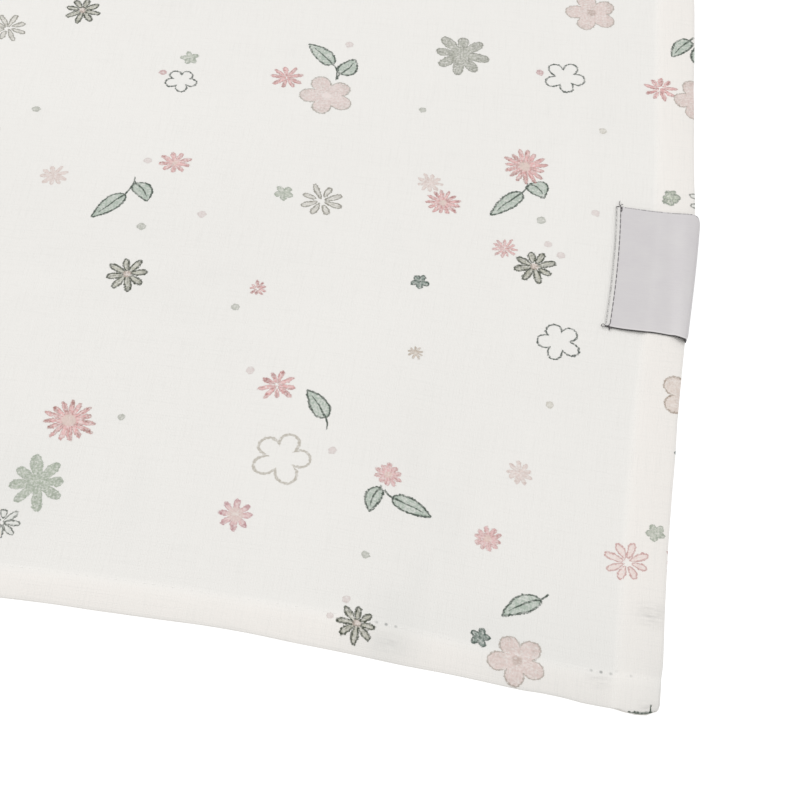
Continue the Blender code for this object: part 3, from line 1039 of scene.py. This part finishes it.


# %% [markdown]
# ## Muslin
# Muslin is a plain weave of fine, slightly uneven cotton threads, about 24 to the centimetre. Two waves at
# right angles make the threads, and stretched noise makes the thicker slubs that run along them. Ink sits on
# the raised threads first, so the weave also breaks up the print a little. The hems are three layers thick,
# so less of the table shows through them and they look a touch lighter and warmer. Their outer folds are
# greyed a little with painted shade, and here and there the needle's holes show along the seams. Soft
# patches of painted shade grey the cloth too, mostly near the corner.

# %% Muslin colours and helpers
THREAD = 0.42               # from one thread to the next, in millimetres
THREAD_DRIFT = 1.2          # how many threads the weave is out of line at most
DRIFT_FINE, SLUB_FINE = (0.9, 0.05), (2.2, 0.07)        # how fine their noise is across and along a thread
FUZZ_FINE, SPECKLE_FINE = 2.6, 1.5
SHOWING_FINE, SHOWING_SHARP, SHOWING_LEVEL = (0.28, 1.04), 3.5, 0.55
INK_WEAVE, INK_SPECKS, INK_SLUBS = 0.1, 1.2, 0.6        # how much each of these varies the ink
INK_LEVEL, INK_LIMITS = 0.93, (0.35, 1.12)
THREAD_HIGH, SLUB_HIGH, FUZZ_HIGH = 0.25, 1.6, 0.6      # how much each of these stands out of the cloth
CLOTH_COLOUR = linear(240.5, 238.5, 234.5)
HEM_COLOUR = linear(243, 239, 234)
SLUB_COLOUR = linear(233, 231, 227)
# the first is print seen through the hems, the second the grey of painted shade
SHOWING_COLOUR, SHADE_COLOUR = linear(213, 210, 206), linear(215, 216, 213)
HOLE_COLOUR = linear(150, 152, 150)
HOLE_HALF = 0.42
FOLD_SHADE_REACH, FOLD_SHADE = 0.7, 0.14        # how far from its fold a hem's painted shade reaches, and how grey it is
BACK_PALE = 0.72            # the print is this much paler on the underside
SLUB_FROM, SLUB_SOFT, SLUB_GREY = 0.60, 0.08, 0.28      # where a slub's noise is above the first, it shows
MUSLIN_RELIEF = (0.35, 0.00012)
STITCH_PITCH, STITCH_LONG = 2.6, 1.9
SEAM_IN, SEAM_UP = HEM_IN - SEAM_SHORT, HEM_UP - SEAM_SHORT


def off_line(place, size, line):
    """How far a place on the cut cloth is from a line near each of two opposite raw edges."""
    middle = size / 2.0
    return abs(abs(place - middle) - (middle - line))


def stored(tree, name, output="Vector"):
    """A value stored on the mesh."""
    return add_node(tree, "Attribute", {}, attribute_name=name).outputs[output]


def stored_number(tree, name):
    """A number stored on the mesh."""
    return Wire(stored(tree, name, "Fac"))


def holes_and_fold_shade(tree, u, v):
    """Where the needle's holes are, and the painted shade along the outer folds of the four hems."""
    holes, fold_shade = [], []
    ways = ((u, v, rows_in, rows_up, SEAM_IN), (v, u, rows_up, rows_in, SEAM_UP))
    for across, along, rows, other_rows, seam in ways:
        fold = -rows["cut"][0]
        beside = off_line(across, rows["size"], fold + seam)
        from_hole = (along + other_rows["cut"][0]).math("PINGPONG", STITCH_PITCH / 2.0)
        holes.append(hypot(beside, from_hole).up_to(HOLE_HALF, 0.25))
        fold_shade.append(off_line(across, rows["size"], fold).up_to(FOLD_SHADE_REACH, 0.4))
    return holes[0].at_least(holes[1]) * stored_number(tree, "holes"), fold_shade[0].at_least(fold_shade[1])


# %% Muslin material
def muslin_material():
    """Woven cotton with its slubs, hems and worn places, and the print laid over it."""
    shine = {"Sheen Weight": 0.08, "Sheen Roughness": 0.6, "Specular IOR Level": 0.2}
    material, shader = plain_material("printed_muslin", CLOTH_COLOUR, 0.88, shine)
    tree = material.node_tree
    cut_map = add_node(tree, "UVMap", {}, uv_map="OFBake").outputs["UV"]
    cut_size = (rows_in["size"], rows_up["size"], 1.0)
    cloth_mm = add_node(tree, "VectorMath", {0: cut_map, 1: cut_size}, operation="MULTIPLY").outputs[0]
    u, v, _ = parts_of(cloth_mm)

    # threads and slubs, along both ways of the cloth
    threads, slubs = [], []
    for place, order in ((u, 1), (v, -1)):
        drift = cloud_over(cloth_mm, stretch=DRIFT_FINE[::order])
        threads.append(((place / THREAD + drift * THREAD_DRIFT) * (2.0 * math.pi)).math("SINE"))
        slubs.append(cloud_over(cloth_mm, detail=3.0, stretch=SLUB_FINE[::order]))
    slub = slubs[0] + slubs[1]
    fuzz = cloud_over(cloth_mm, FUZZ_FINE, 3.0)
    patchy = cloud_over(cloth_mm, detail=3.0, stretch=SHOWING_FINE)
    speckle = cloud_over(cloth_mm, SPECKLE_FINE)

    # the bare cloth
    thick_threads = slubs[0].past(SLUB_FROM, SLUB_SOFT) + slubs[1].past(SLUB_FROM, SLUB_SOFT)
    holes, fold_shade = holes_and_fold_shade(tree, u, v)
    colour = laid_over(
        CLOTH_COLOUR,
        (stored_number(tree, "layers"), HEM_COLOUR),
        (thick_threads * SLUB_GREY + (fuzz - 0.5) * 0.5, SLUB_COLOUR),
        (stored_number(tree, "showing") * ((patchy - 0.5) * SHOWING_SHARP + SHOWING_LEVEL), SHOWING_COLOUR),
        # painted shade, in soft patches
        (stored_number(tree, "painted_shade"), SHADE_COLOUR),
        # painted shade along the hems' outer folds
        (fold_shade * FOLD_SHADE, SHADE_COLOUR),
        (holes, HOLE_COLOUR),
    )

    # the print, one screen after another
    back = Wire(add_node(tree, "NewGeometry", {}).outputs["Backfacing"])
    grain = threads[0] * threads[1] * INK_WEAVE + (speckle - 0.5) * INK_SPECKS + (slub - 1.0) * INK_SLUBS
    ink = (grain + INK_LEVEL).within(*INK_LIMITS) * (back * -BACK_PALE + 1.0)
    for screens, group in ((leaf_screens, leaf_group()), (flower_screens, flower_group())):
        for screen in screens:
            parts = {part: stored(tree, f"{screen.name}_{part}") for part in ("at", *screen.parts)}
            stamp = add_node(tree, "Group", {"Color": colour, "Ink": ink, **parts}, node_tree=group)
            colour = stamp.outputs["Color"]
    feed(colour, shader.inputs["Base Color"])
    height = (threads[0] + threads[1]) * THREAD_HIGH + slub * SLUB_HIGH + fuzz * FUZZ_HIGH
    add_bump(shader, height, MUSLIN_RELIEF)
    return material


# %% Store what the material needs and give it to the cloth
def store(piece, name, values):
    """Keep one number from 0 to 1 for each point of a piece."""
    stored_values = piece.data.attributes.new(name, "FLOAT", "POINT")
    stored_values.data.foreach_set("value", np.clip(values, 0.0, 1.0).astype(np.float32).ravel())


for name, chart in (("showing", SHOWING), ("painted_shade", PAINTED_SHADE), ("holes", HOLES)):
    patches = np.zeros_like(inward)
    for at_inward, at_up, half_in, half_up, strength in chart:
        away = np.hypot((inward - at_inward) / half_in, (up - at_up) / half_up)
        patches += strength * (1.0 - smooth(away))
    store(blanket, name, patches)
store(blanket, "layers", (stack_height(inward, HEM_IN) + stack_height(up, HEM_UP)) / (2.0 * LAYER))
blanket.data.materials.append(muslin_material())
print("material nodes:", len(blanket.data.materials[0].node_tree.nodes))

# %% [markdown]
# ## The label
# The label is a woven satin ribbon, folded in half round the hem and sewn through near its two ends. It is
# easiest to model as a section, run along the hem: over the cloth, out past the hem's edge, round and back
# underneath. The section is worked out anew for each row, because the cloth below it isn't flat. Towards its
# fold it puffs up off the hem, and its lower side and its sewn end are bowed a little. A ribbon has two
# faces and an edge, so the middle line is set off by half its thickness to both sides and closed.

# %% Label sizes
RIBBON = 0.35               # thickness
LABEL_SEAM = 1.4            # its stitches, in from its sewn ends
LABEL_GAP = 0.06            # between label and cloth at its sewn end
TABLE_GAP = 0.02            # it never lies nearer to the table
PUFF_LOW, PUFF_HIGH = 1.25, 0.8     # how much further off it stands at the fold, at its lower and upper end
PUFF_FROM_LOW, PUFF_FROM_HIGH = 4.6, 7.4    # how far in from the hem's edge it starts to rise to that
PUFF_TOP = 0.6              # and where it has all of it
FOLD_LOW, FOLD_HIGH = 0.9, 1.9      # how far the fold stands out, at the label's lower and upper end
FOLD_TUCK, TUCK_LONG = 0.4, 1.8     # and how much less at its very corners
FOLD_FROM = 0.25            # the fold begins this far in from the hem's edge
FOLD_FULL = 0.8             # and is a little fuller than a half circle
REACH_LOW, REACH_BOW = 23.35, 0.4   # its sewn end isn't quite parallel to the hem, nor quite straight
BACK_SHORT = 0.8            # the back half ends this much short of the front one
SEWN_ENDS = (119.3, 164.7)  # lower and upper end of its sewn side
FOLD_ENDS = (117.2, 163.85)         # and of its folded side, which is pulled a little nearer to us
LOW_BOW = 1.0               # between the two its lower side is drawn up by this much
BOW_FROM, BOW_TO, BOW_FADE = 3.6, 21.0, 13.0        # how far in that is whole, ends, and fades before it
BRIDGE_FROM = 11.0          # from here the label runs straight down to its sewn end, past the hem's step
SOFT_LOW, SOFT_HIGH = 0.3, 0.9      # how much its two folded corners are rounded
FRONT_ROWS, FOLD_ROWS, BACK_ROWS, LABEL_STATIONS = 26, 9, 12, 33


# %% Label section
def label_base(inward, up):
    """Height of what the label's front half lies on."""
    on_hem = cloth_top(np.full_like(inward, BRIDGE_FROM), up)
    at_end = cloth_top(np.full_like(inward, LABEL_REACH), up)
    share = np.clip((inward - BRIDGE_FROM) / (LABEL_REACH - BRIDGE_FROM), 0.0, 1.0)
    return np.maximum(cloth_top(inward, up), on_hem * (1.0 - share) + at_end * share)


def label_front(inward, up):
    """Height of the middle of the label's front half."""
    lower = np.clip(0.5 - (up - LABEL_UP) / LABEL_LONG, 0.0, 1.0) ** 2
    start = between(PUFF_FROM_HIGH, PUFF_FROM_LOW, lower)
    puff = between(PUFF_HIGH, PUFF_LOW, lower) * smooth((start - inward) / (start - PUFF_TOP))
    return label_base(inward, up) + LABEL_GAP + RIBBON / 2.0 + puff


def label_back(inward, up):
    """Height of the middle of the label's back half, under the hem."""
    return np.maximum(underside(inward, up) - LABEL_GAP - RIBBON / 2.0, RIBBON / 2.0 + TABLE_GAP)


def label_up(inward, across):
    """The place up the side of a point of the label, with soft corners at its fold."""
    sewn_share = inward / LABEL_REACH
    near_fold = smooth((1.0 - inward) / (1.0 + FOLD_HIGH)) ** 2
    bowed = LOW_BOW * smooth(inward / BOW_FROM) * smooth((BOW_TO - inward) / BOW_FADE)
    low = between(FOLD_ENDS[0], SEWN_ENDS[0], sewn_share) + SOFT_LOW * near_fold + bowed
    high = between(FOLD_ENDS[1], SEWN_ENDS[1], sewn_share) - SOFT_HIGH * near_fold
    return low * (0.5 - across) + high * (0.5 + across)


def sewn_end(across):
    """How far in from the hem's edge the label's sewn end is."""
    return between(REACH_LOW, LABEL_REACH, across + 0.5) - REACH_BOW * (1.0 - 4.0 * across ** 2)


across = np.linspace(-0.5, 0.5, LABEL_STATIONS)[None, :]
reach_share = sewn_end(across) / LABEL_REACH
front_in = np.linspace(LABEL_REACH, FOLD_FROM, FRONT_ROWS)[:, None] * reach_share
back_in = np.linspace(FOLD_FROM, LABEL_REACH - BACK_SHORT, BACK_ROWS)[:, None] * reach_share
fold_turn = np.linspace(0.0, math.pi, FOLD_ROWS + 2)[1:-1]

tuck = FOLD_TUCK * smooth(1.0 - (0.5 - np.abs(across)) * LABEL_LONG / TUCK_LONG)
fold_out = between(FOLD_LOW, FOLD_HIGH, across + 0.5) - tuck
round_fold = (np.sin(fold_turn) ** FOLD_FULL)[:, None]
fold_in = FOLD_FROM - (fold_out - RIBBON / 2.0 + FOLD_FROM) * round_fold
middle_in = np.concatenate([front_in, fold_in, back_in])
middle_up = label_up(middle_in, across)
front_z = label_front(front_in, middle_up[:FRONT_ROWS])
back_z = label_back(back_in, middle_up[-BACK_ROWS:])
half_fold = (front_z[-1] - back_z[0]) / 2.0
fold_z = back_z[0] + half_fold + half_fold * np.cos(fold_turn)[:, None]
middle_z = np.concatenate([front_z, fold_z, back_z])

run_in, run_z = np.gradient(middle_in, axis=0), np.gradient(middle_z, axis=0)
run = np.hypot(run_in, run_z)
along_label = np.cumsum(run, axis=0) - run[0]
off_in, off_z = run_z / run * RIBBON / 2.0, -run_in / run * RIBBON / 2.0


# %% Label mesh
def label_side(side):
    """Points of the label's outer face, for side 1, or its inner face, for side -1."""
    x, y = lie(middle_in + side * off_in, middle_up)
    return np.stack([x, y, np.maximum(middle_z + side * off_z, TABLE_GAP)], axis=-1).reshape(-1, 3)


outer = np.arange(middle_in.size).reshape(middle_in.shape)
inner = outer + outer.size
wall_pairs = ((inner[:, 0], outer[:, 0]), (outer[:, -1], inner[:, -1]),
              (outer[0], inner[0]), (inner[-1], outer[-1]))
walls = [np.stack(pair, axis=1) for pair in wall_pairs]
label_faces = [grid_faces(numbers) for numbers in (outer.T, inner, *walls)]
label_points = np.concatenate([label_side(1.0), label_side(-1.0)])
label = new_piece("satin_label", label_points, np.concatenate(label_faces).tolist())
label.data.set_sharp_from_angle(angle=math.radians(40.0))

# the label's inner face and its edges, which get near-black painted shade
shade_faces = label.data.attributes.new("inside", "FLOAT", "FACE")
shade_face_values = np.ones(len(label.data.polygons), np.float32)
shade_face_values[:len(label_faces[0])] = 0.0
shade_faces.data.foreach_set("value", shade_face_values)
ribbon = label.data.attributes.new("ribbon", "FLOAT_VECTOR", "POINT")
across_mm = np.broadcast_to(across * LABEL_LONG, along_label.shape)
ribbon_mm = np.stack([along_label, across_mm, np.zeros_like(along_label)], axis=-1)
ribbon.data.foreach_set("vector", np.tile(ribbon_mm.reshape(-1, 3), (2, 1)).astype(np.float32).ravel())

# %% [markdown]
# ## Satin
# Satin is woven so that the threads of its face float over several others. That makes it smooth and a
# little shiny, with a very fine slanting grain. Darker threads show in specks along its upper selvedge. Its
# inner face, seen inside the fold, and its edges are painted near black as shade. Its lower selvedge ends in
# a thin dark line, partly a dark selvedge and partly painted shade, with a painted highlight beside it. At
# the sewn end a light band, specked with dark, shows where the ribbon was cut and turned.

# %% Satin material
SATIN_COLOUR, SATIN_LIGHT = linear(208, 204, 206), linear(214, 211, 211)
# the dark colour is for the selvedge specks, and is also painted shade on the inner face, edges and lower
# line
SATIN_SPECKS_AND_SHADE, SEWN_LIGHT = linear(20, 18, 17), linear(227, 225, 221)
# a painted highlight along the lower selvedge
SATIN_HIGHLIGHT = linear(224, 220, 220)
SELVEDGE = 0.35
HIGHLIGHT_WIDE, LINE_WIDE = 0.75, 0.22    # how far up the painted highlight and the dark line reach
END_BAND, END_FRAY = 1.25, 0.45     # how far in from the sewn end it is lighter, and specked with dark
SATIN_GRAIN, SATIN_SLANT = 0.24, 0.6    # between two slanting lines of the weave, and how they slant
STREAK_FINE, PATCH_FINE, SPECK_FINE = (0.25, 2.4), 0.12, 2.2
SATIN_RELIEF = (0.25, 0.00005)


def satin_material():
    """Grey satin, with dark specks, a light sewn end, and painted shade and a painted highlight at its edges.
    """
    shine = {"Specular IOR Level": 0.35, "Sheen Weight": 0.1}
    material, shader = plain_material("grey_satin", SATIN_COLOUR, 0.5, shine)
    tree = material.node_tree
    place = stored(tree, "ribbon")
    along, sideways, _ = parts_of(place)
    slant = ((along + sideways * SATIN_SLANT) / SATIN_GRAIN * (2.0 * math.pi)).math("SINE")
    streaks = cloud_over(place, detail=3.0, stretch=STREAK_FINE)
    patches = cloud_over(place, PATCH_FINE)
    specks = cloud_over(place, SPECK_FINE)

    to_selvedge = abs(sideways) * -1.0 + LABEL_LONG / 2.0
    to_lower = sideways + LABEL_LONG / 2.0
    # painted highlight just above the lower selvedge
    lower_highlight = to_lower.up_to(HIGHLIGHT_WIDE, 0.2)
    selvedge = to_selvedge.up_to(SELVEDGE, 0.12) * specks.past(0.5, 0.05) * (lower_highlight * -1.0 + 1.0) * 0.6
    end_specks = along.up_to(END_FRAY, 0.2) * (specks.past(0.5, 0.04) * 0.4 + 0.1)
    # a thin dark line along the lower selvedge: partly a dark selvedge, partly painted shade
    lower_edge_and_shade = to_lower.up_to(LINE_WIDE, 0.08) * 0.9
    # painted shade, near black, on the ribbon's inner face and its edges
    inside = stored_number(tree, "inside") * 0.95
    feed(laid_over(
        SATIN_COLOUR,
        ((streaks - 0.5) * 1.2 + (patches - 0.5) * 1.6 + slant * 0.08 + 0.5, SATIN_LIGHT),
        (along.up_to(END_BAND, 0.15) * 0.8, SEWN_LIGHT),
        (lower_highlight * 0.7, SATIN_HIGHLIGHT),
        (selvedge.at_least(end_specks).at_least(lower_edge_and_shade).at_least(inside), SATIN_SPECKS_AND_SHADE),
    ), shader.inputs["Base Color"])
    add_bump(shader, slant * 0.5 + streaks * 1.5, SATIN_RELIEF)
    return material


label.data.materials.append(satin_material())

# %% [markdown]
# ## Sewing
# A lockstitch is a row of short thread ends that dive into the cloth at both ends. Each one here is a small
# capsule of five rings, and a whole seam is one mesh worked out at once. The hems are sewn with white thread
# and the label with dark grey, with loose ends where its seam starts and stops.


# %% Stitches
RING_AT = np.array([0.0, 0.14, 0.5, 0.86, 1.0])
RING_SIZE = np.array([0.35, 0.85, 1.0, 0.85, 0.35])
RING_RISE = np.array([-1.1, -0.2, 0.15, -0.2, -1.1])
PLIES = 4200.0              # how fine the thread's own unevenness is, to the metre
THREAD_RELIEF = (0.4, 0.00004)


def sewn(name, starts, ends, radius, sides=6, over=1.0):
    """One mesh of stitches between two lists of points. over is -1 for the underside."""
    run = ends - starts
    across = np.cross(run, [0.0, 0.0, 1.0])
    across /= np.linalg.norm(across, axis=1)[:, None]
    turn = np.arange(sides) * 2.0 * math.pi / sides
    middle = starts[:, None, :] + run[:, None, :] * RING_AT[None, :, None]
    middle[:, :, 2] += over * radius * RING_RISE
    spread = radius * RING_SIZE[None, :, None, None]
    rings = middle[:, :, None, :] + spread * across[:, None, None, :] * np.cos(turn)[None, None, :, None]
    rings[..., 2] += spread[..., 0] * np.sin(turn)[None, None, :]

    around = np.arange(sides)
    first = np.arange(len(starts))[:, None, None] * len(RING_AT) * sides
    ring = first + np.arange(len(RING_AT) - 1)[None, :, None] * sides
    here, after = ring + around, ring + (around + 1) % sides
    quads = np.stack([here, after, after + sides, here + sides], axis=-1)
    faces = quads.reshape(-1, 4).tolist()
    faces += (first[:, 0] + around[::-1]).tolist()
    faces += (first[:, 0] + (len(RING_AT) - 1) * sides + around).tolist()
    return new_piece(name, rings.reshape(-1, 3), faces)


def thread_material(name, colour, tuft):
    """Spun thread, whose fibres catch the light unevenly."""
    material, shader = plain_material(name, colour, 0.75)
    plies = cloud_over(add_node(material.node_tree, "TexCoord", {}).outputs["Object"], PLIES)
    feed(mixed(plies.past(0.5, 0.1), colour, tuft), shader.inputs["Base Color"])
    add_bump(shader, plies, THREAD_RELIEF)
    return material


# %% Hem stitches
HEM_THREAD, LABEL_THREAD = 0.09, 0.12       # half the thickness of each thread
SEAM_FROM = 2.95            # the first stitch is this far from a corner
SUNK_ABOVE, SUNK_BELOW = 0.3, 0.1           # how deep stitches sink in, as a share of that half


def hem_stitch_ends(share):
    """Points on the four seams, at a share of the way along each stitch: inward and up."""
    along = np.arange(SEAM_FROM, SIDE - SEAM_FROM - STITCH_LONG, STITCH_PITCH) + share * STITCH_LONG
    held_in, held_up = np.full_like(along, SEAM_IN), np.full_like(along, SEAM_UP)
    inward = np.concatenate([held_in, along, SIDE - held_in, along])
    return inward, np.concatenate([along, held_up, along, SIDE - held_up])


def on_cloth(inward, up, height):
    """A point in millimetres, over a place on the finished cloth."""
    x, y = lie(inward, up)
    return np.stack([x, y, height], axis=-1)


def seam_points(share, over):
    """Points on the four seams, on the upper face of the cloth or, where over is -1, on its underside."""
    inward, up = hem_stitch_ends(share)
    if over > 0.0:
        return on_cloth(inward, up, cloth_top(inward, up) - HEM_THREAD * SUNK_ABOVE)
    return on_cloth(inward, up, underside(inward, up) - HEM_THREAD * SUNK_BELOW)


white_thread = thread_material("white_thread", linear(248, 246, 243), linear(240, 238, 234))
hem_stitches = []
for name, over in (("hem_stitches", 1.0), ("hem_stitches_below", -1.0)):
    seam = sewn(name, seam_points(0.0, over), seam_points(1.0, over), HEM_THREAD, sides=5, over=over)
    seam.data.materials.append(white_thread)
    hem_stitches.append(seam)
print("hem stitches:", len(seam_points(0.0, 1.0)))

# %% Label stitches
LABEL_PITCH, LABEL_STITCH = 2.1, 2.15
OVERSHOOT = 1.2             # the seam starts and ends this far past the label
TAILS = (
    # inward and up of loose thread ends and of a small loop, each a line of points
    ((22.4, 164.5), (23.0, 165.7), (22.7, 166.9)), ((21.7, 165.8), (22.8, 164.7), (23.8, 164.3)),
    ((22.3, 164.7), (21.8, 163.7), (22.2, 162.6)), ((22.5, 164.5), (22.0, 163.5), (22.3, 162.2)),
    ((21.2, 118.7), (22.3, 119.4), (23.2, 119.3)), ((22.1, 120.3), (22.3, 119.2), (21.9, 118.1)),
    ((23.2, 119.3), (23.7, 119.8), (24.3, 119.6), (24.4, 119.0), (23.8, 118.7), (23.2, 119.3)),
)


def label_seam(share):
    """Points on the label's seam, at a share of the way along each stitch."""
    sewn_long = SEWN_ENDS[1] - SEWN_ENDS[0]
    count = int((sewn_long + 2.0 * OVERSHOOT) / LABEL_PITCH)
    across = (np.arange(count) * LABEL_PITCH + share * LABEL_STITCH - OVERSHOOT) / sewn_long - 0.5
    inward = sewn_end(across) - LABEL_SEAM
    up = label_up(inward, across)
    on_label = np.abs(across) < 0.5
    height = np.where(on_label, label_front(inward, up) + RIBBON / 2.0, cloth_top(inward, up))
    return on_cloth(inward, up, height + LABEL_THREAD * 0.3)


def tail_points(used):
    """Places of the loose thread ends: all but the last of each tail, or all but the first."""
    inward, up = np.array([place for tail in TAILS for place in tail[used]]).T
    return on_cloth(inward, up, cloth_top(inward, up) + LABEL_GAP + RIBBON + LABEL_THREAD)


starts = np.concatenate([label_seam(0.0), tail_points(slice(None, -1))])
ends = np.concatenate([label_seam(1.0), tail_points(slice(1, None))])
label_stitches = sewn("label_stitches", starts, ends, LABEL_THREAD)
grey_thread = thread_material("grey_thread", linear(84, 80, 82), linear(112, 108, 109))
label_stitches.data.materials.append(grey_thread)
print("label stitches:", len(starts))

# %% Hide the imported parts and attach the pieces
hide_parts("blanket")
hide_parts("label")
for piece in (blanket, *hem_stitches):
    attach(piece, "root")
for piece in (label, label_stitches):
    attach(piece, "root")
